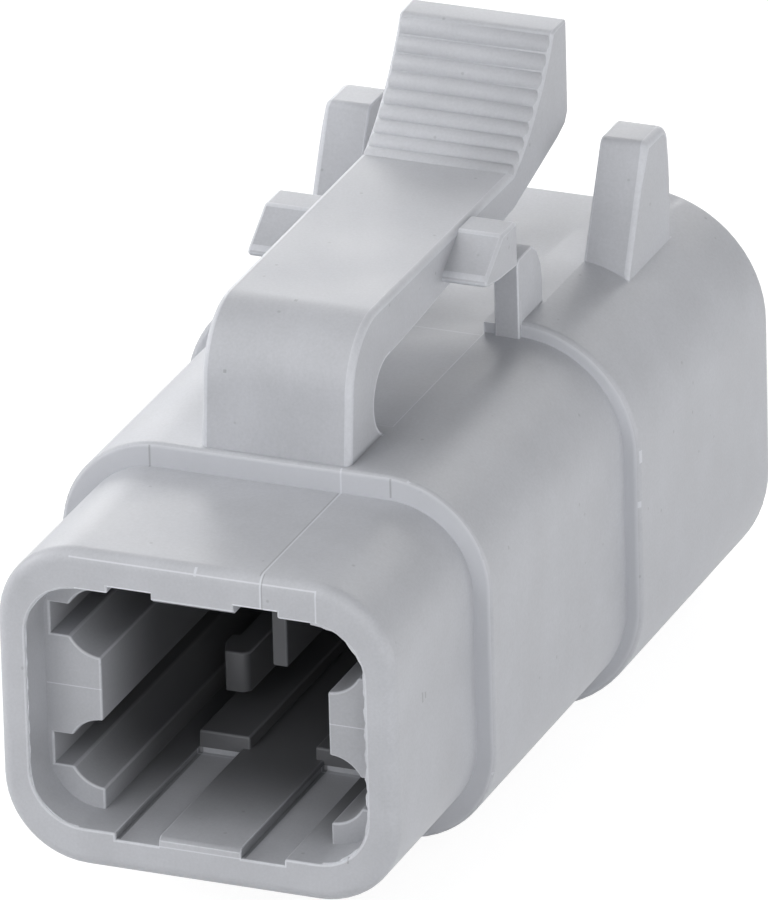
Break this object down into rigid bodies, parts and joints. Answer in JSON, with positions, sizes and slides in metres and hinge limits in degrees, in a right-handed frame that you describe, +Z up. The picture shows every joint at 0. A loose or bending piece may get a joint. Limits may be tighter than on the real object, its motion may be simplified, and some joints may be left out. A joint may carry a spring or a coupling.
{
  "type": "sealed automotive connector plug",
  "caption": "Rectangular sealed wire connector plug housing with contact channels, a rear wire seal with its retainer, and a sprung latch lever with a ribbed thumb pad.",
  "frame": {"origin": "centre of the contact pattern on the mating face, at the front rim of the nose", "axes": "+Y from the mating face to the wire end, +Z up to the latch lever, X across the width"},
  "size_m": [0.0146, 0.0278, 0.0195],
  "materials": {
    "housing_plastic": "satin moulded grey plastic",
    "seal_rubber": "soft matt silicone",
    "retainer_plastic": "satin moulded grey plastic"
  },
  "bodies": {
    "shell": {"housing": "housing_plastic", "wire_seal": "seal_rubber", "seal_retainer": "retainer_plastic"},
    "lever": {"latch_lever": "housing_plastic"}
  },
  "joints": [
    {"name": "latch_press", "type": "hinge", "parent": "shell", "child": "lever", "pos_m": [0, 0.00845, 0.00693], "axis": [-1, 0, 0], "range_deg": [0, 7.5], "stiffness_Nm_per_rad": 0.25}
  ]
}
